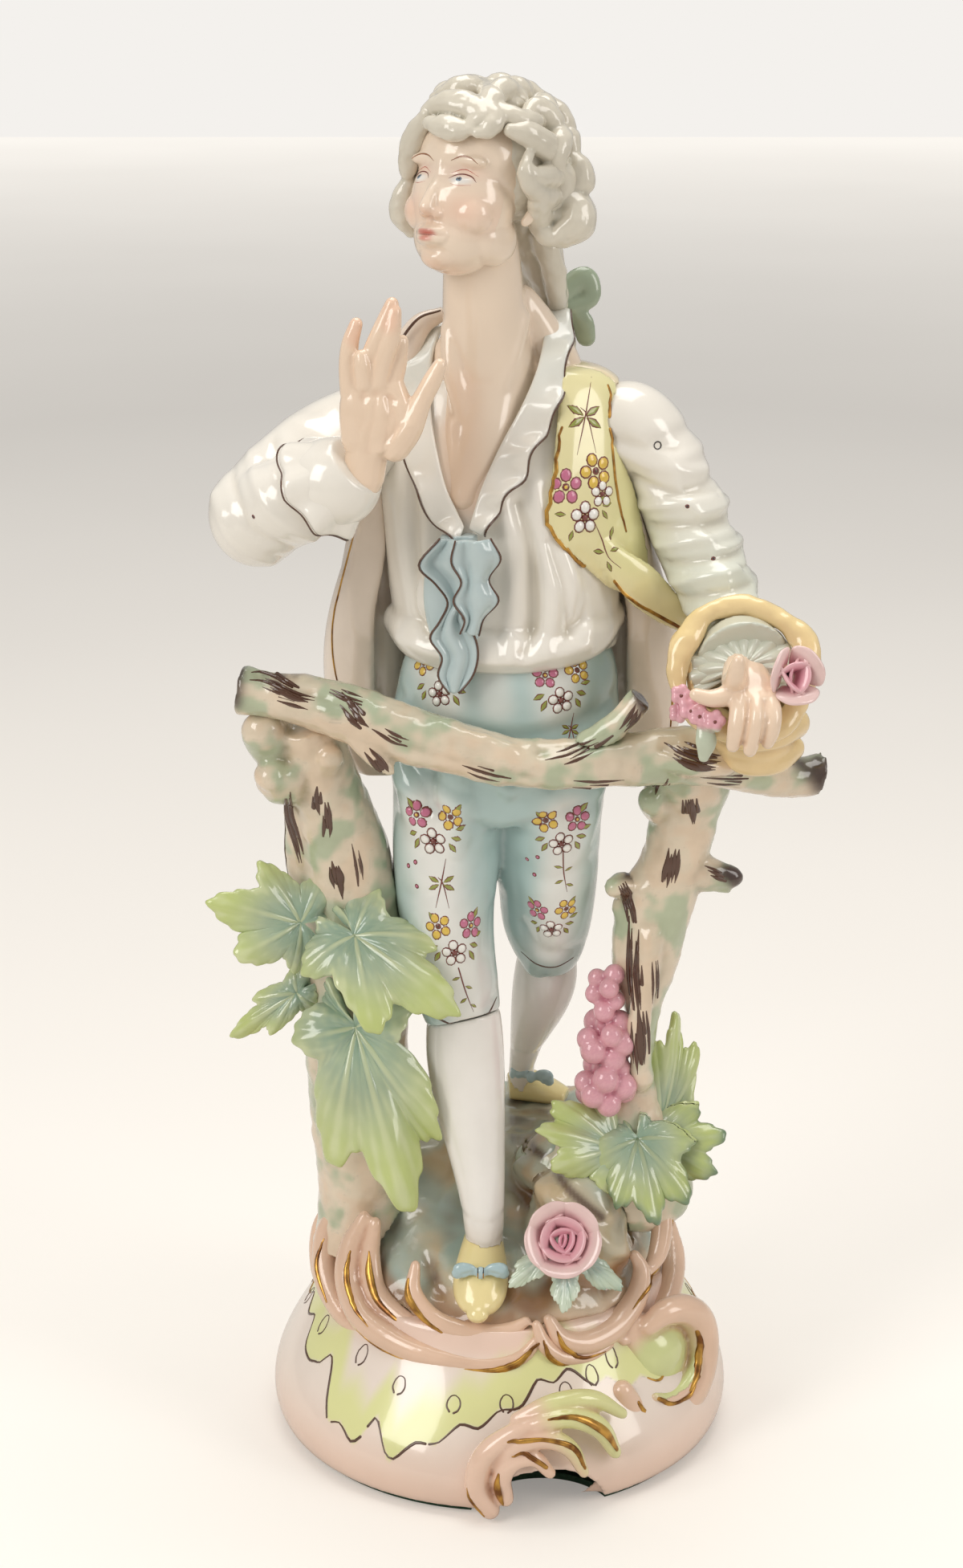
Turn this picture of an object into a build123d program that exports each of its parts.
"""Porcelain figurine: a young gallant in knee breeches leans on a branch rail, on a rococo base.

It is built as a pottery builds it: hollow and solid castings, each from its own mould, set face
to face with slip before firing, with a felt sheet glued under the foot. Nothing on it moves.
Millimetres, +Z up, -Y towards the viewer, origin at the middle of the felt's underside.
"""

import os
from math import cos, pi, radians, sin

from build123d import *

os.makedirs("parts", exist_ok=True)

# ---- Driving dimensions: the base ----
felt_thickness = 1.5
felt_inset = 2.0  # felt stops this far inside the foot
foot_radius = 49.0
belly_radius = 51.5
waist_radius = 42.5
deck_radius = 38.5
foot_forward = 4.0  # the foot stands this far towards the viewer of the deck
plinth_rise = 34.5  # felt to deck
plinth_wall = 4.0
arch_width = 26.0  # notch in the foot at the front
arch_height = 9.0
arch_depth = 7.0

# ---- Driving dimensions: the rockwork ----
rock_radius = 36.5
rock_wall = 6.0
front_step = 2.5  # rock under the front toe, above the deck
back_step = 30.0  # rock under the rear foot, above the deck

# ---- Driving dimensions: the figure, each height above the one before ----
stocking_length = 61.5  # front toe to the hem of the breeches
thigh_length = 46.0
hips_height = 35.0
back_length = 54.0
neck_length = 21.0
head_height = 38.5
casting_wall = 3.5
hip_half = 23.5
chest_half = 24.5
chest_depth = 15.5
garment_gap = 3.0  # coat outside the chest
coat_thickness = 2.6
wig_thickness = 4.0
head_turn = -37.0  # towards the viewer's left

# ---- Driving dimensions: the tree ----
rail_height = 161.5  # branch centre at mid span
rail_front = -29.5
rail_radius = 5.6
rail_left = -54.0
rail_right = 67.0
left_post_radius = 9.5
right_post_radius = 7.0

# ---- Driving dimensions: the small pieces ----
leaf_thickness = 1.8
leaf_bow = 30.0  # radius the leaves are cupped to
bow_width = 11.0
basket_rim_radius = 13.2
basket_rim_tube = 2.3
basket_foot_radius = 7.5
basket_wall = 2.0
rose_radius = 7.5
seam = 0.2  # slip joint between castings that do not touch flat

# ---- Levels that the castings share ----
deck = felt_thickness + plinth_rise
front_sole = deck + front_step
rear_sole = deck + back_step
hem = front_sole + stocking_length
crotch = hem + thigh_length
waist = crotch + hips_height
shoulder = waist + back_length
chin = shoulder + neck_length
crown = chin + head_height  # top of the skull under the wig


def rings(stations, across=(1, 0, 0)):
    """Ellipses for one loft along a limb. A station is (centre, radius across, other radius)."""
    points = [Vector(*centre) for centre, _, _ in stations]
    made = []
    for number, (centre, wide, deep) in enumerate(stations):
        ahead = points[min(number + 1, len(points) - 1)]
        behind = points[max(number - 1, 0)]
        with BuildSketch(Plane(origin=centre, x_dir=across, z_dir=ahead - behind)) as ring:
            Ellipse(wide, deep)
        made.append(ring.sketch)
    return made


def level_rings(stations, thinner=0.0):
    """Level ellipses for one loft. A station is (centre x, centre y, height, radius x, radius y)."""
    made = []
    for x, y, z, wide, deep in stations:
        with BuildSketch(Plane(origin=(x, y, z))) as ring:
            Ellipse(wide - thinner, deep - thinner)
        made.append(ring.sketch)
    return made


def egg(centre, wide, high, turn=(0, 0, 0)):
    """An egg-shaped lump, round in plan, with these radii across and up before it is turned."""
    with BuildPart(mode=Mode.PRIVATE) as lump:
        with BuildSketch(Plane.XZ):
            Ellipse(wide, high)
            with Locations((-wide, 0)):
                Rectangle(2 * wide, 3 * high, mode=Mode.SUBTRACT)
        revolve(axis=Axis.Z)
    return Location(centre, turn) * lump.part


def facing(stalk, tip, front):
    """The plane of a leaf that runs from stalk to tip and shows its face to front."""
    along = (Vector(*tip) - Vector(*stalk)).normalized()
    side = along.cross(Vector(*front)).normalized()
    return Plane(origin=stalk, x_dir=side, z_dir=side.cross(along))


def leaf(outline, stalk, tip, width, front):
    """A cupped leaf from stalk to tip; the outline is half of it, as shares of width and length."""
    length = (Vector(*tip) - Vector(*stalk)).length
    half = [(width * x, length * y) for x, y in outline]
    with BuildPart() as blade:
        with BuildSketch(Plane.XY.offset(-leaf_bow)):
            with BuildLine():
                Polyline(half + [(-x, y) for x, y in reversed(half[1:-1])], close=True)
            make_face()
        extrude(amount=leaf_bow * 2)
        with BuildPart(mode=Mode.PRIVATE) as bowl:
            with Locations((0, length / 2, -leaf_bow)):
                Sphere(leaf_bow + leaf_thickness)
                Sphere(leaf_bow, mode=Mode.SUBTRACT)
        add(bowl.part, mode=Mode.INTERSECT)
    return facing(stalk, tip, front).location * blade.part


# Half outlines of the leaves, as shares of width and length, from the stalk to the tip.
VINE = [(0, 0), (0.35, -0.12), (0.95, 0.08), (0.7, 0.3), (1, 0.52), (0.5, 0.64), (0.42, 0.82), (0, 1)]
OVAL = [(0, 0), (0.6, 0.12), (1, 0.45), (0.75, 0.8), (0, 1)]
LONG = [(0, 0), (0.8, 0.02), (1, 0.25), (0.75, 0.42), (0.85, 0.6), (0.45, 0.75), (0, 1)]


def save(piece, name):
    """Labels one finished casting and writes its file."""
    casting = piece.part.solids().sort_by(SortBy.VOLUME)[-1]
    casting.label = name
    export_step(casting, f"parts/{name}.step")


# ---- The base: a hollow plinth on its felt ----

arch_x = 0.35 * arch_width
with BuildPart() as felt_sheet:
    with BuildSketch():
        with Locations((0, -foot_forward)):
            Circle(foot_radius - felt_inset)
        with Locations((arch_x, -foot_radius - foot_forward)):
            Circle(arch_width * 0.6, mode=Mode.SUBTRACT)
    extrude(amount=felt_thickness)
save(felt_sheet, "felt_sheet")

plinth_profile = [
    (0, -foot_forward, felt_thickness, foot_radius, foot_radius),
    (0, -0.7 * foot_forward, felt_thickness + 0.2 * plinth_rise, belly_radius, belly_radius),
    (0, -0.3 * foot_forward, felt_thickness + 0.45 * plinth_rise, belly_radius - 2.5, belly_radius - 2.5),
    (0, 0, felt_thickness + 0.75 * plinth_rise, waist_radius, waist_radius),
    (0, 0, deck, deck_radius, deck_radius),
]
cavity_profile = plinth_profile[:-1] + [(0, 0, deck - plinth_wall, deck_radius, deck_radius)]

with BuildPart() as plinth:
    loft(level_rings(plinth_profile))
    loft(level_rings(cavity_profile, thinner=plinth_wall), mode=Mode.SUBTRACT)
    with BuildSketch(Plane.XZ.offset(foot_radius + foot_forward - arch_depth)):
        with Locations((arch_x, felt_thickness)):
            Ellipse(arch_width / 2, arch_height)
    extrude(amount=3 * arch_depth, mode=Mode.SUBTRACT)
save(plinth, "plinth")

# ---- The rockwork, stepped for the two feet ----

rock_profile = [
    (0, 0, deck, rock_radius, rock_radius),
    (0, 0.5, front_sole, rock_radius - 0.5, rock_radius - 1),
    (0, 8, deck + 0.5 * back_step, rock_radius - 4, rock_radius - 10),
    (1, 12, deck + 0.85 * back_step, rock_radius - 9, rock_radius - 17),
    (2, 15, rear_sole, rock_radius - 13, rock_radius - 21),
]
with BuildPart() as rock:
    loft(level_rings(rock_profile))
    loft(level_rings(rock_profile[:3], thinner=rock_wall), mode=Mode.SUBTRACT)
save(rock, "rock")

with BuildPart() as rock_ledge:
    add(egg((17, -17, deck + 12), 11.5, 17))
    add(egg((12.5, -7, deck + 20), 9.5, 15))
    split(bisect_by=Plane.XY.offset(deck), keep=Keep.TOP)
    add(rock.part, mode=Mode.SUBTRACT)
save(rock_ledge, "rock_ledge")

# ---- The scrolls round the rim of the plinth ----

rim_thickness = 4.0
rim_drop = 3.0  # scroll centres this far below the deck


def rim_rings(start, end, start_rise, end_rise):
    """Rings of a scroll that follows the rim between two bearings and swells in the middle."""
    stations = []
    for step in range(7):
        share = step / 6
        bearing = radians(start + share * (end - start))
        swell = rim_thickness * (0.4 + 0.6 * sin(pi * share))
        rise = start_rise * (1 - share) ** 2 + end_rise * share**2
        at = (deck_radius * cos(bearing), deck_radius * sin(bearing), deck - rim_drop + rise)
        stations.append((at, swell, swell))
    return rings(stations, across=(0, 0, 1))


with BuildPart() as rim_scroll_left:
    loft(rim_rings(176, 262, 9, 0))
    add(plinth.part, mode=Mode.SUBTRACT)
    add(rock.part, mode=Mode.SUBTRACT)
save(rim_scroll_left, "rim_scroll_left")

with BuildPart() as rim_scroll_front:
    loft(rim_rings(250, 306, -3, 3))
    add(plinth.part, mode=Mode.SUBTRACT)
    add(rock.part, mode=Mode.SUBTRACT)
    add(rim_scroll_left.part, mode=Mode.SUBTRACT)
save(rim_scroll_front, "rim_scroll_front")

with BuildPart() as rim_scroll_right:
    loft(rim_rings(312, 372, 1, 9))
    add(plinth.part, mode=Mode.SUBTRACT)
    add(rock.part, mode=Mode.SUBTRACT)
    add(rim_scroll_front.part, mode=Mode.SUBTRACT)
save(rim_scroll_right, "rim_scroll_right")

with BuildPart() as rim_scroll_back:
    loft(rim_rings(18, 170, 5, 5))
    add(plinth.part, mode=Mode.SUBTRACT)
    add(rock.part, mode=Mode.SUBTRACT)
save(rim_scroll_back, "rim_scroll_back")

# ---- The big volute at the right and the shell over the arch ----

volute_bearing = -25.0
volute_roll = 5.2
volute_coil = 5.8
outwards = Vector(cos(radians(volute_bearing)), sin(radians(volute_bearing)), 0)
volute_middle = outwards * (belly_radius - 5) + Vector(0, 0, felt_thickness + volute_coil + volute_roll + 0.5)
with BuildPart() as volute:
    with Locations(Plane(origin=volute_middle, z_dir=outwards + Vector(0, -0.2, 0.15))):
        Torus(volute_coil, volute_roll)
    add(plinth.part, mode=Mode.SUBTRACT)
save(volute, "volute")

with BuildPart() as arch_shell:
    for number in range(4):
        start = arch_x - arch_width * 0.5 + 2.2 * number
        end = start + 10.5 + 1.2 * number
        drop = felt_thickness + 2.0 + 1.3 * number
        bulge = belly_radius + foot_forward - 1 - 0.5 * number
        loft(
            rings(
                [
                    ((start, -(bulge - 3.5), drop + 12), 1.5, 1.5),
                    ((start * 0.6 + end * 0.4, -(bulge - 0.8), drop + 9.5), 2.6, 2.4),
                    ((start * 0.2 + end * 0.8, -(bulge - 1.0), drop + 5), 2.4, 2.2),
                    ((end, -(bulge - 3.5), drop + 1), 1.3, 1.3),
                ]
            )
        )
    add(plinth.part, mode=Mode.SUBTRACT)
save(arch_shell, "arch_shell")

# ---- The figure: hips and breeches ----

hips_profile = [
    (-0.5, -7, crotch - 3, hip_half - 1, 13),
    (0.5, -8, crotch + 0.4 * hips_height, hip_half + 0.5, 16.5),
    (1.5, -8, crotch + 0.75 * hips_height, hip_half, 16),
    (2, -7, waist, hip_half - 2.5, 14),
]
with BuildPart() as breeches_hips:
    loft(level_rings(hips_profile))
    loft(level_rings(hips_profile[1:], thinner=casting_wall), mode=Mode.SUBTRACT)
save(breeches_hips, "breeches_hips")

with BuildPart() as breeches_front_leg:
    loft(
        rings(
            [
                ((-11.5, -8.5, crotch + 3), 11.5, 12.5),
                ((-11.5, -9, crotch - 8), 11.8, 12.5),
                ((-11.5, -12, hem + 20), 10.2, 11),
                ((-10, -14, hem + 9), 9.4, 10),
                ((-8, -16, hem), 8.2, 8.6),
            ]
        )
    )
    add(breeches_hips.part, mode=Mode.SUBTRACT)
save(breeches_front_leg, "breeches_front_leg")

rear_hem = hem + 6.5
with BuildPart() as breeches_rear_leg:
    loft(
        rings(
            [
                ((11, -7, crotch + 3), 10.5, 12),
                ((11, -6, crotch - 8), 10.6, 11.5),
                ((11.5, -2, rear_hem + 16), 9.2, 10),
                ((11, 1.5, rear_hem + 6), 8.2, 9),
                ((10.5, 4, rear_hem), 6.6, 7),
            ]
        )
    )
    add(breeches_hips.part, mode=Mode.SUBTRACT)
    add(breeches_front_leg.part, mode=Mode.SUBTRACT)
save(breeches_rear_leg, "breeches_rear_leg")

# ---- Stockings, shoes and their bows ----

with BuildPart() as front_shoe:
    loft(
        rings(
            [
                ((-4.9, -37.5, front_sole + 1.6), 2.6, 1.8),
                ((-4.6, -34.5, front_sole + 3.2), 5.3, 3.6),
                ((-4.2, -29, front_sole + 6.6), 5.9, 5.0),
                ((-3.8, -24, front_sole + 10.5), 4.8, 5.4),
                ((-3.6, -19.5, front_sole + 13), 3.6, 4.4),
            ]
        )
    )
    add(rock.part, mode=Mode.SUBTRACT)
save(front_shoe, "front_shoe")

with BuildPart() as front_stocking:
    loft(
        rings(
            [
                ((-3.8, -26, front_sole + 9), 4.0, 4.2),
                ((-3.7, -24, front_sole + 19), 4.6, 4.8),
                ((-5.5, -19.5, front_sole + 34), 6.6, 6.8),
                ((-7.2, -16, front_sole + 47), 8.2, 8.4),
                ((-7.8, -15.5, hem + 3), 7.4, 7.6),
            ]
        )
    )
    add(front_shoe.part, mode=Mode.SUBTRACT)
    add(breeches_front_leg.part, mode=Mode.SUBTRACT)
    add(rock.part, mode=Mode.SUBTRACT)
save(front_stocking, "front_stocking")

with BuildPart() as front_shoe_bow:
    for side in (-1, 1):
        at = (-4.4 + side * bow_width / 4, -33.0, front_sole + 10.2)
        add(egg(at, 1.8, bow_width / 4 + 0.6, turn=(0, 90, 0)))
    add(front_shoe.part, mode=Mode.SUBTRACT)
    add(front_stocking.part, mode=Mode.SUBTRACT)
save(front_shoe_bow, "front_shoe_bow")

with BuildPart() as rear_shoe:
    loft(
        rings(
            [
                ((2, 18, rear_sole + 3.4), 3.0, 3.0),
                ((6, 18.5, rear_sole + 3.6), 3.9, 3.8),
                ((10.5, 18, rear_sole + 2.6), 4.4, 3.2),
                ((15.5, 16.5, rear_sole + 1.6), 2.6, 1.8),
            ],
            across=(0, 1, 0),
        )
    )
    add(rock.part, mode=Mode.SUBTRACT)
save(rear_shoe, "rear_shoe")

with BuildPart() as rear_stocking:
    loft(
        rings(
            [
                ((5, 17.5, rear_sole + 4), 3.2, 3.2),
                ((6, 14.5, rear_sole + 15), 3.6, 3.8),
                ((9, 9, rear_sole + 28), 6.4, 6.8),
                ((10.5, 5, rear_hem + 2.5), 5.9, 6.4),
            ]
        )
    )
    add(rear_shoe.part, mode=Mode.SUBTRACT)
    add(breeches_rear_leg.part, mode=Mode.SUBTRACT)
    add(rock.part, mode=Mode.SUBTRACT)
save(rear_stocking, "rear_stocking")

with BuildPart() as rear_shoe_bow:
    for side in (-1, 1):
        at = (7.6 + side * bow_width / 4, 14.2, rear_sole + 8)
        add(egg(at, 1.9, bow_width / 4 + 0.5, turn=(0, 90, 0)))
    add(rear_shoe.part, mode=Mode.SUBTRACT)
    add(rear_stocking.part, mode=Mode.SUBTRACT)
save(rear_shoe_bow, "rear_shoe_bow")

# ---- The torso in its shirt, open at the neck ----

torso_profile = [
    (2, -7, waist, chest_half - 2, chest_depth - 0.5),
    (1, -7, waist + 9, chest_half - 0.5, chest_depth + 0.5),
    (0, -7, waist + 26, chest_half, chest_depth + 0.5),
    (-0.5, -6, waist + 41, chest_half + 1, chest_depth - 1),
    (-1, -5, shoulder - 4, chest_half, chest_depth - 4),
    (-2, -5, shoulder + 2.5, chest_half - 11, chest_depth - 6.5),
]
with BuildPart() as shirt_torso:
    loft(level_rings(torso_profile))
    loft(level_rings(torso_profile[:4], thinner=casting_wall), mode=Mode.SUBTRACT)
save(shirt_torso, "shirt_torso")

with BuildPart() as raised_sleeve:
    loft(
        rings(
            [
                ((-16, -5, shoulder - 7), 7, 8),
                ((-29, -9, shoulder - 9.5), 10.2, 10.5),
                ((-42, -16, shoulder - 18), 11.5, 11),
                ((-49, -21, shoulder - 23), 10.5, 10),
            ],
            across=(0, 0, 1),
        )
    )
    add(egg((-49.5, -21, shoulder - 23.5), 10.2, 10.8))
    loft(
        rings(
            [
                ((-51, -21, shoulder - 24), 9.5, 9.5),
                ((-43, -26.5, shoulder - 20), 9.2, 9.2),
                ((-36, -31, shoulder - 16), 7.5, 7.5),
            ],
            across=(0, 0, 1),
        )
    )
    add(shirt_torso.part, mode=Mode.SUBTRACT)
save(raised_sleeve, "raised_sleeve")

with BuildPart() as raised_cuff:
    loft(
        rings(
            [
                ((-36, -31, shoulder - 16), 9.0, 9.0),
                ((-31.8, -33.7, shoulder - 13.6), 9.0, 9.0),
                ((-28.6, -35.6, shoulder - 10.4), 6.4, 6.4),
            ],
            across=(0, 0, 1),
        )
    )
save(raised_cuff, "raised_cuff")

palm = Vector(-23.5, -38, shoulder + 1)
with BuildPart() as raised_hand:
    loft(
        rings(
            [
                (tuple(palm + Vector(-7, 3, -12.5)), 4.2, 3.6),
                (tuple(palm + Vector(-2.5, 0.5, -7)), 4.4, 3.4),
                (tuple(palm), 6.2, 3.0),
                (tuple(palm + Vector(-0.3, 0, 6)), 5.9, 2.5),
            ]
        )
    )
    for root, knuckle, tip, thick in (
        ((-5, 0, 3), (-6.5, 0, 11), (-5.6, 0, 16.5), 1.8),
        ((-2, 0, 4), (-1.5, 0, 13), (0.8, -0.4, 20.5), 2.1),
        ((1.3, 0, 4), (2.3, -0.3, 12), (2.4, -0.8, 18), 2.0),
        ((3, 0, -3), (7.5, -0.6, 2.5), (10.5, -1.0, 8), 2.1),
    ):
        loft(
            rings(
                [
                    (tuple(palm + Vector(*root)), thick, thick),
                    (tuple(palm + Vector(*knuckle)), thick, thick * 0.95),
                    (tuple(palm + Vector(*tip)), thick * 0.6, thick * 0.6),
                ]
            )
        )
    add(raised_cuff.part, mode=Mode.SUBTRACT)
save(raised_hand, "raised_hand")

with BuildPart() as resting_sleeve:
    loft(
        rings(
            [
                ((17, -5, shoulder - 7), 7, 8),
                ((32.5, -5.5, shoulder - 12.5), 9.8, 10),
                ((39.5, -7, shoulder - 25), 10.3, 10.3),
                ((44.5, -12, shoulder - 37), 9.8, 9.8),
                ((47.5, -19, shoulder - 46), 7.6, 7.6),
            ]
        )
    )
    add(shirt_torso.part, mode=Mode.SUBTRACT)
save(resting_sleeve, "resting_sleeve")

# ---- The basket on the rail, its rim a hoop that faces the viewer ----

rim_centre = Vector(49, -32, rail_height + 20)
rim_normal = (0, -0.9, 0.43)
with BuildPart() as basket_rim:
    with Locations(Plane(origin=rim_centre, x_dir=(1, 0, 0), z_dir=rim_normal)):
        Torus(basket_rim_radius, basket_rim_tube)
    add(resting_sleeve.part, mode=Mode.SUBTRACT)
save(basket_rim, "basket_rim")


def basket_rings(thinner, floor):
    """Rings of the basket's side, from its tilted rim down to a level foot."""
    made = []
    for centre, normal, radius in (
        (rim_centre, rim_normal, basket_rim_radius),
        ((51, -28.5, rail_height + 9), (0, -0.5, 0.87), basket_rim_radius - 3),
        ((52.5, -25, rail_height - 1.5 + floor), (0, 0, 1), basket_foot_radius),
    ):
        with BuildSketch(Plane(origin=centre, x_dir=(1, 0, 0), z_dir=normal)) as ring:
            Circle(radius - thinner)
        made.append(ring.sketch)
    return made


# ---- The tree: the rail, its twig and the two posts ----

rail_stations = [
    (rail_left, 7.5, 13.2, 0.95),
    (-40, 5.5, 11.2, 1.0),
    (-28, 3.5, 8.0, 1.12),
    (-11, 0.5, 3.0, 1.0),
    (4, 0, 0, 0.92),
    (19, 1, -0.5, 0.95),
    (39, 4.5, 0, 1.12),
    (53, 9.5, -3.9, 1.0),
    (rail_right, 14.5, -6.7, 0.85),
]
with BuildPart() as rail:
    loft(
        rings(
            [
                ((x, rail_front + back, rail_height + up), rail_radius * size, rail_radius * size)
                for x, back, up, size in rail_stations
            ],
            across=(0, 1, 0),
        )
    )
    loft(
        rings(
            [
                ((-29, rail_front + 3, rail_height + 6), 2.6, 2.6),
                ((-23, rail_front + 2, rail_height - 2.5), 1.4, 1.4),
            ],
            across=(0, 1, 0),
        )
    )
    add(breeches_hips.part, mode=Mode.SUBTRACT)
    add(breeches_front_leg.part, mode=Mode.SUBTRACT)
    add(breeches_rear_leg.part, mode=Mode.SUBTRACT)
save(rail, "rail")

with BuildPart() as rail_twig:
    loft(
        rings(
            [
                ((14, rail_front + 1, rail_height), 3.8, 3.8),
                ((22, rail_front + 0.5, rail_height + 6.5), 3.0, 3.0),
                ((28.5, rail_front, rail_height + 13.5), 2.8, 2.8),
            ],
            across=(0, 1, 0),
        )
    )
    add(rail.part, mode=Mode.SUBTRACT)
    add(breeches_hips.part, mode=Mode.SUBTRACT)
save(rail_twig, "rail_twig")

with BuildPart() as basket_body:
    loft(basket_rings(0.4, 0))
    loft(basket_rings(basket_wall + 0.4, 2.5), mode=Mode.SUBTRACT)
    split(bisect_by=Plane.XY.offset(rail_height + 22), keep=Keep.BOTTOM)
    add(basket_rim.part, mode=Mode.SUBTRACT)
    add(resting_sleeve.part, mode=Mode.SUBTRACT)
    add(rail.part, mode=Mode.SUBTRACT)
save(basket_body, "basket_body")

with BuildPart() as left_post:
    loft(
        rings(
            [
                ((-30, -4, deck + 5), left_post_radius * 1.3, left_post_radius * 1.3),
                ((-31, -5, deck + 35), left_post_radius * 1.15, left_post_radius * 1.1),
                ((-31.5, -7, deck + 62), left_post_radius * 1.2, left_post_radius * 1.1),
                ((-32, -8, deck + 90), left_post_radius * 1.1, left_post_radius),
                ((-36, -12, deck + 111), left_post_radius * 0.85, left_post_radius * 0.85),
                ((-40.5, -18.5, rail_height + 6), left_post_radius * 0.8, left_post_radius * 0.75),
            ]
        )
    )
    add(egg((-46, -18, rail_height + 0.5), 4.8, 5))
    add(egg((-44.5, -20, rail_height - 6), 4.3, 4.4))
    for body in (rail, rock, rim_scroll_left, plinth, breeches_front_leg, front_stocking):
        add(body.part, mode=Mode.SUBTRACT)
save(left_post, "left_post")

with BuildPart() as right_post:
    loft(
        rings(
            [
                ((30, -8, deck + 12), right_post_radius * 0.95, right_post_radius * 0.95),
                ((30, -8, deck + 42), right_post_radius * 0.72, right_post_radius * 0.75),
                ((31, -8, deck + 69), right_post_radius * 0.85, right_post_radius * 0.85),
                ((33.5, -8.5, deck + 86), right_post_radius * 1.15, right_post_radius),
                ((37.5, -9, deck + 99), right_post_radius, right_post_radius * 0.95),
                ((39.5, -11, rail_height - 13), right_post_radius * 1.2, right_post_radius * 1.05),
                ((40, -17.5, rail_height - 3), right_post_radius * 1.1, right_post_radius),
            ]
        )
    )
    loft(
        rings(
            [
                ((40, -9, deck + 95), 4.6, 4.6),
                ((50, -9, deck + 92), 2.4, 2.4),
            ],
            across=(0, 1, 0),
        )
    )
    add(egg((27, -9, deck + 86), 3.0, 4))
    add(rail.part, mode=Mode.SUBTRACT)
    add(rock.part, mode=Mode.SUBTRACT)
    add(rock_ledge.part, mode=Mode.SUBTRACT)
    add(basket_body.part, mode=Mode.SUBTRACT)
save(right_post, "right_post")

# ---- The hand in the basket, its pleated cuff and the flowers ----

with BuildPart() as resting_cuff:
    loft(
        rings(
            [
                ((47.3, -18.5, rail_height + 27), 6.2, 6.2),
                ((48.4, -24.5, rail_height + 23.5), 8.2, 8.2),
                ((49, -29, rail_height + 21.5), 9.6, 9.4),
            ]
        )
    )
    add(resting_sleeve.part, mode=Mode.SUBTRACT)
    add(basket_rim.part, mode=Mode.SUBTRACT)
    add(basket_body.part, mode=Mode.SUBTRACT)
save(resting_cuff, "resting_cuff")

knuckles = Vector(50, -38, rail_height + 15)
with BuildPart() as resting_hand:
    loft(
        rings(
            [
                (tuple(knuckles + Vector(-1, 11, 3.5)), 4.0, 3.6),
                (tuple(knuckles + Vector(-0.5, 5, 2.5)), 4.8, 3.6),
                (tuple(knuckles + Vector(0, 0, 0)), 5.6, 2.6),
            ]
        )
    )
    for root, bend, tip, thick in (
        ((-3.4, 1, 0.5), (-4.0, -2.6, -2.0), (-4.6, -3.6, -6.8), 1.7),
        ((0, 1, 0), (-0.6, -2.8, -2.4), (-1.4, -3.8, -7.2), 1.8),
        ((3.2, 1, 0), (2.8, -2.6, -2.2), (1.8, -3.4, -6.0), 1.7),
        ((-3, 4, 2), (-7, -0.5, 2.8), (-10.2, -1.6, 3.0), 1.8),
        ((-2, 5, 3), (-3.4, 0.8, 5.0), (-3.9, -0.8, 7.8), 1.8),
    ):
        loft(
            rings(
                [
                    (tuple(knuckles + Vector(*root)), thick, thick),
                    (tuple(knuckles + Vector(*bend)), thick, thick * 0.95),
                    (tuple(knuckles + Vector(*tip)), thick * 0.75, thick * 0.75),
                ],
                across=(0.3, 0.2, 0.93) if root == (-3, 4, 2) else (1, 0, 0),
            )
        )
    add(resting_cuff.part, mode=Mode.SUBTRACT)
    add(basket_rim.part, mode=Mode.SUBTRACT)
    add(basket_body.part, mode=Mode.SUBTRACT)
save(resting_hand, "resting_hand")

with BuildPart() as basket_rose:
    with Locations((58.0, -37.0, rail_height + 20.5)):
        Sphere(4.0)
    add(basket_rim.part, mode=Mode.SUBTRACT)
    add(resting_hand.part, mode=Mode.SUBTRACT)
save(basket_rose, "basket_rose")

with BuildPart() as basket_buds:
    loft(
        rings(
            [
                ((35.5, -38.6, rail_height + 17), 1.6, 1.6),
                ((37.2, -39.8, rail_height + 14), 2.4, 2.4),
                ((40, -40.8, rail_height + 11), 2.4, 2.4),
                ((41, -42, rail_height + 7.5), 1.6, 1.6),
            ]
        )
    )
    add(basket_rim.part, mode=Mode.SUBTRACT)
save(basket_buds, "basket_buds")

# ---- The sleeveless coat: painted front and plain back with its tails ----

coat_profile = [
    (2, 6, crotch + 3, 34, 16),
    (0.5, 4, crotch + 0.65 * hips_height, 38.5, 18),
    (0, 1, waist + 6, 36.5, 19.5),
    (0, -4, waist + 24, chest_half + 6.5, chest_depth + 4),
    (0, -5, waist + 41, chest_half + garment_gap + 0.5, chest_depth + garment_gap - 1),
    (0, -5, shoulder - 1, chest_half + 1.5, chest_depth - 1),
    (0, -5, shoulder + 5, chest_half - 8, chest_depth - 4),
]
lining_profile = [
    (2, 6, crotch + 3, 34 - coat_thickness, 16 - coat_thickness),
    (0.5, 4, crotch + 0.65 * hips_height, 38.5 - coat_thickness, 18 - coat_thickness),
    (0, 1, waist + 6, 36.5 - coat_thickness, 19.5 - coat_thickness),
    (0, -4, waist + 24, chest_half, chest_depth),
    (0, -5, waist + 41, chest_half - 3, chest_depth - 4),
    (0, -5, shoulder - 1, chest_half - 10, chest_depth - 6),
    (0, -5, shoulder + 5, 11, 9.5),
]
front_cut = -9.0  # seam between the coat's back and its painted front

with BuildPart() as coat_shell:
    loft(level_rings(coat_profile))
    loft(level_rings(lining_profile), mode=Mode.SUBTRACT)
    for body in (shirt_torso, breeches_hips, raised_sleeve, resting_sleeve):
        add(body.part, mode=Mode.SUBTRACT)

with BuildPart() as coat_front:
    with BuildSketch(Plane.XZ.offset(-front_cut)):
        Polygon(
            (12.5, shoulder + 7),
            (10.5, shoulder - 14),
            (8.5, shoulder - 25),
            (14, waist + 22),
            (22, waist + 14),
            (40, waist + 4),
            (40, shoulder + 7),
            align=None,
        )
    extrude(amount=40)
    add(coat_shell.part, mode=Mode.INTERSECT)
save(coat_front, "coat_front")

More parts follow.
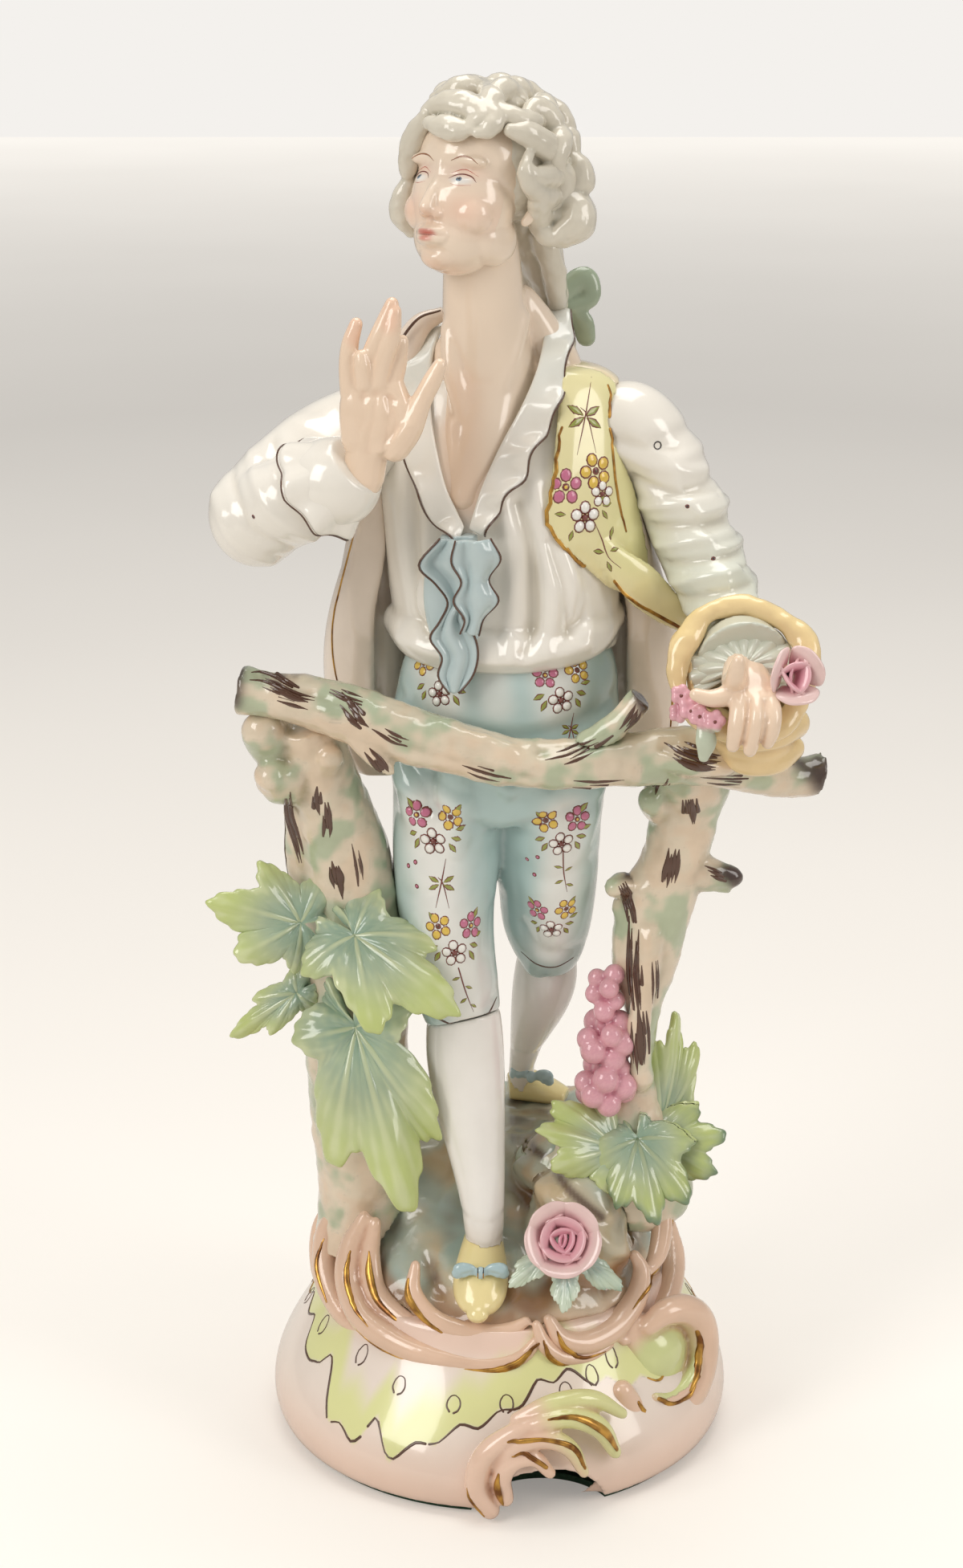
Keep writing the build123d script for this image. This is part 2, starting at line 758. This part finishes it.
with BuildPart() as coat_back:
    with BuildSketch(Plane.YZ.offset(-60)):
        Polygon(
            (front_cut, shoulder + 7),
            (front_cut, waist + 2),
            (front_cut + 7, crotch + 4),
            (40, crotch + 3),
            (40, shoulder + 7),
            align=None,
        )
    extrude(amount=120)
    add(coat_shell.part, mode=Mode.INTERSECT)
    with BuildSketch(Plane.XZ.offset(-5)):
        Polygon((-2, crotch), (2, crotch), (1, crotch + 26), align=None)
    extrude(amount=-40, mode=Mode.SUBTRACT)
save(coat_back, "coat_back")

# ---- Neck, collar and jabot ----

with BuildPart() as neck:
    loft(
        rings(
            [
                ((-1.5, -6, shoulder - 6), 12, 10),
                ((-2.5, -8.5, shoulder + 7), 10.4, 9.6),
                ((-4.0, -11, chin + 3), 10.2, 9.6),
            ]
        )
    )
    add(egg((-5, -14.5, shoulder - 10), 9.0, 12))
    add(shirt_torso.part, mode=Mode.SUBTRACT)
    add(coat_front.part, mode=Mode.SUBTRACT)
    add(coat_back.part, mode=Mode.SUBTRACT)
    add(raised_sleeve.part, mode=Mode.SUBTRACT)
save(neck, "neck")

with BuildPart() as collar_frill:
    loft(
        rings(
            [
                ((8, 3, shoulder + 9), 4.2, 1.6),
                ((11.5, -7, shoulder + 5), 5.0, 1.8),
                ((8.5, -16.5, shoulder - 6), 5.2, 2.0),
                ((3, -22, shoulder - 16), 5.2, 2.0),
                ((-3, -24.5, shoulder - 24), 4.4, 1.8),
            ],
            across=(0.75, 0.3, 0.5),
        )
    )
    loft(
        rings(
            [
                ((-17, -14, shoulder - 3), 4.0, 1.6),
                ((-17.5, -19.5, shoulder - 12), 4.6, 1.8),
                ((-13, -23, shoulder - 20), 4.6, 1.8),
                ((-7, -24.5, shoulder - 26), 4.0, 1.8),
            ],
            across=(0.8, -0.3, -0.5),
        )
    )
    for body in (shirt_torso, neck, coat_front, coat_back):
        add(body.part, mode=Mode.SUBTRACT)
    for arm in (raised_sleeve, raised_cuff, resting_sleeve):
        add(arm.part, mode=Mode.SUBTRACT)
save(collar_frill, "collar_frill")

with BuildPart() as jabot:
    loft(
        level_rings(
            [
                (-9.5, -22.5, waist - 3, 2.0, 1.6),
                (-9.5, -23, waist + 5, 5.0, 2.6),
                (-10, -23.5, waist + 18, 5.8, 2.6),
                (-8.5, -24, waist + 27, 3.6, 2.6),
            ]
        )
    )
    for body in (shirt_torso, breeches_hips, collar_frill):
        add(body.part, mode=Mode.SUBTRACT)
save(jabot, "jabot")

# ---- The head and its dressed wig ----

forward = Vector(sin(radians(head_turn)), -cos(radians(head_turn)), 0)
skull_radius = 14.0
skull = Vector(-5, -12.5, crown - skull_radius - 1)
jaw_radius = 11.0
with BuildPart() as head:
    with Locations(skull):
        Sphere(skull_radius)
    for ahead, below, size in ((5.5, 11, jaw_radius), (11.6, 17.8, 5.6), (13.2, 5.5, 3.6)):
        with Locations(skull + forward * ahead - Vector(0, 0, below)):
            Sphere(size)
    add(neck.part, mode=Mode.SUBTRACT)
save(head, "head")

beside = Vector(cos(radians(head_turn)), sin(radians(head_turn)), 0)
wig_middle = skull - forward * 4.5
wig_radius = skull_radius + wig_thickness
jaw = skull + forward * 5.5 - Vector(0, 0, 11)
with BuildPart() as wig:
    with Locations(wig_middle):
        Sphere(wig_radius)
    with Locations(skull):
        Sphere(skull_radius + 0.5 * seam, mode=Mode.SUBTRACT)
    split(bisect_by=Plane(origin=skull + forward * 3, z_dir=-forward), keep=Keep.TOP)
    split(bisect_by=Plane.XY.offset(skull.Z - 9), keep=Keep.TOP)
save(wig, "wig")


def curl_column(name, places, neighbours):
    """A column of fat curls; each place is (beside the skull, ahead of it, above it, radius)."""
    stations = []
    for out, ahead, up, size in places:
        at = skull + beside * out + forward * ahead + Vector(0, 0, up)
        stations.append((tuple(at), size, size))
    with BuildPart() as column:
        loft(rings(stations, across=tuple(forward)))
        for centre, radius in ((wig_middle, wig_radius), (skull, skull_radius), (jaw, jaw_radius)):
            with Locations(centre):
                Sphere(radius + 0.5 * seam, mode=Mode.SUBTRACT)
        for other in neighbours:
            add(other.part, mode=Mode.SUBTRACT)
    save(column, name)
    return column


top_places = [(-14.5, 7, 4, 3.2), (-10, 8, 10, 4.8), (0, 8, 13.5, 5.6), (10, 6, 11, 5.2), (15.5, 4, 5, 3.2)]
right_places = [(17, 1, 4, 4.4), (18, -1, -3.4, 5.8), (16.5, 1, -10, 5.2), (14.5, 2.5, -15, 3.4)]
left_places = [(-15, 4, 2.5, 3.2), (-15.5, 3.5, -3, 4.4), (-13.5, 2.5, -9, 4.2), (-12, 2.5, -14, 2.6)]
wig_top_curls = curl_column("wig_top_curls", top_places, [])
wig_right_curls = curl_column("wig_right_curls", right_places, [wig_top_curls])
wig_left_curls = curl_column("wig_left_curls", left_places, [wig_top_curls])

with BuildPart() as queue:
    loft(
        rings(
            [
                ((4, -2, chin + 14.5), 6.5, 6),
                ((9, 2, chin + 4), 5.5, 4.6),
                ((11, 5, chin - 5), 4.2, 3.8),
            ]
        )
    )
    for body in (wig, head, neck, collar_frill, wig_right_curls, coat_back):
        add(body.part, mode=Mode.SUBTRACT)
save(queue, "queue")

with BuildPart() as hair_ribbon:
    for x, y, below, size in ((14.5, 6.5, 3.5, 4.0), (8, 9.5, 4.5, 3.5), (15.2, 7, 9, 2.9)):
        with Locations((x, y, chin - below)):
            Sphere(size)
    for body in (queue, neck, collar_frill, coat_back, wig):
        add(body.part, mode=Mode.SUBTRACT)
save(hair_ribbon, "hair_ribbon")

# ---- Leaves, berries and the rose ----


def place_leaf(name, shape, neighbours):
    """Cuts one leaf to its neighbours and writes it."""
    with BuildPart() as blade:
        add(shape)
        for other in neighbours:
            add(other.part, mode=Mode.SUBTRACT)
    save(blade, name)
    return blade


trunk = [left_post, rock, rim_scroll_left, plinth]
vine_leaf_side = place_leaf(
    "vine_leaf_side", leaf(VINE, (-38, -14, 124), (-61.5, -21, 127), 13, (0, -1, 0.3)), trunk
)
vine_leaf_front = place_leaf(
    "vine_leaf_front",
    leaf(VINE, (-31, -16, 121), (-26.5, -34, 103), 18.5, (0, -0.7, 0.7)),
    trunk + [vine_leaf_side, breeches_front_leg, front_stocking],
)
vine_leaf_small = place_leaf(
    "vine_leaf_small", leaf(OVAL, (-40, -9, 107), (-59.5, -11, 93.5), 6, (0, -0.9, 0.5)), trunk
)
vine_leaf_hanging = place_leaf(
    "vine_leaf_hanging",
    leaf(LONG, (-37, -15, 101), (-22, -33, 62), 16, (0.1, -0.9, 0.2)),
    trunk + [vine_leaf_front, vine_leaf_small, front_stocking, front_shoe, rock_ledge],
)

with BuildPart() as berry_cluster:
    loft(
        rings(
            [
                ((22.5, -13, deck + 73), 1.5, 1.5),
                ((22.5, -13, deck + 66), 2.8, 2.6),
                ((22.5, -12.5, deck + 57), 4.4, 4.0),
                ((23, -12.5, deck + 49), 5.4, 4.8),
                ((24, -12.5, deck + 43), 3.8, 3.6),
            ]
        )
    )
    add(right_post.part, mode=Mode.SUBTRACT)
save(berry_cluster, "berry_cluster")

bush = [right_post, rock, rock_ledge, berry_cluster]
bush_leaf_left = place_leaf(
    "bush_leaf_left", leaf(VINE, (27, -12, 70), (7.5, -21, 77), 9, (0.1, -0.8, 0.6)), bush
)
bush_leaf_front = place_leaf(
    "bush_leaf_front",
    leaf(VINE, (29, -11, 73), (33, -27, 58), 12, (0.1, -0.7, 0.7)),
    bush + [bush_leaf_left],
)
bush_leaf_right = place_leaf(
    "bush_leaf_right",
    leaf(VINE, (32, -7, 69), (48.5, -13, 67), 10, (0.2, -0.8, 0.6)),
    bush + [bush_leaf_front, bush_leaf_left],
)
bush_leaf_tall = place_leaf(
    "bush_leaf_tall",
    leaf(OVAL, (34, -4, 66), (39, -3, 97), 6.5, (0.1, -1, 0)),
    bush + [bush_leaf_front, bush_leaf_right],
)

rose_centre = Vector(13.8, -31.5, front_sole + 15.5)
rose_face = Vector(0, -0.85, 0.5)
with BuildPart() as rose:
    with BuildSketch(Plane(origin=rose_centre - rose_face * 5, z_dir=rose_face)):
        Circle(rose_radius * 0.5)
    with BuildSketch(Plane(origin=rose_centre + rose_face * 0.5, z_dir=rose_face)):
        Circle(rose_radius)
    loft()
    add(egg(tuple(rose_centre + rose_face * 0.8), rose_radius * 0.62, 3.6))
    add(rock.part, mode=Mode.SUBTRACT)
    add(rock_ledge.part, mode=Mode.SUBTRACT)
save(rose, "rose")

rose_ground = [rock, rock_ledge, rose, front_shoe, front_stocking, rim_scroll_front, rim_scroll_right]
rose_leaf_left = place_leaf(
    "rose_leaf_left", leaf(OVAL, (11, -30, 50), (2.5, -37, 44.5), 4.6, (0, -0.8, 0.6)), rose_ground
)
rose_leaf_front = place_leaf(
    "rose_leaf_front",
    leaf(OVAL, (15, -32, 48), (19.5, -39, 38.5), 4.8, (0, -0.8, 0.6)),
    rose_ground + [rose_leaf_left],
)
rose_leaf_right = place_leaf(
    "rose_leaf_right",
    leaf(OVAL, (18, -30, 51), (28.5, -31, 50.5), 4.2, (0, -0.8, 0.6)),
    rose_ground + [rose_leaf_front],
)
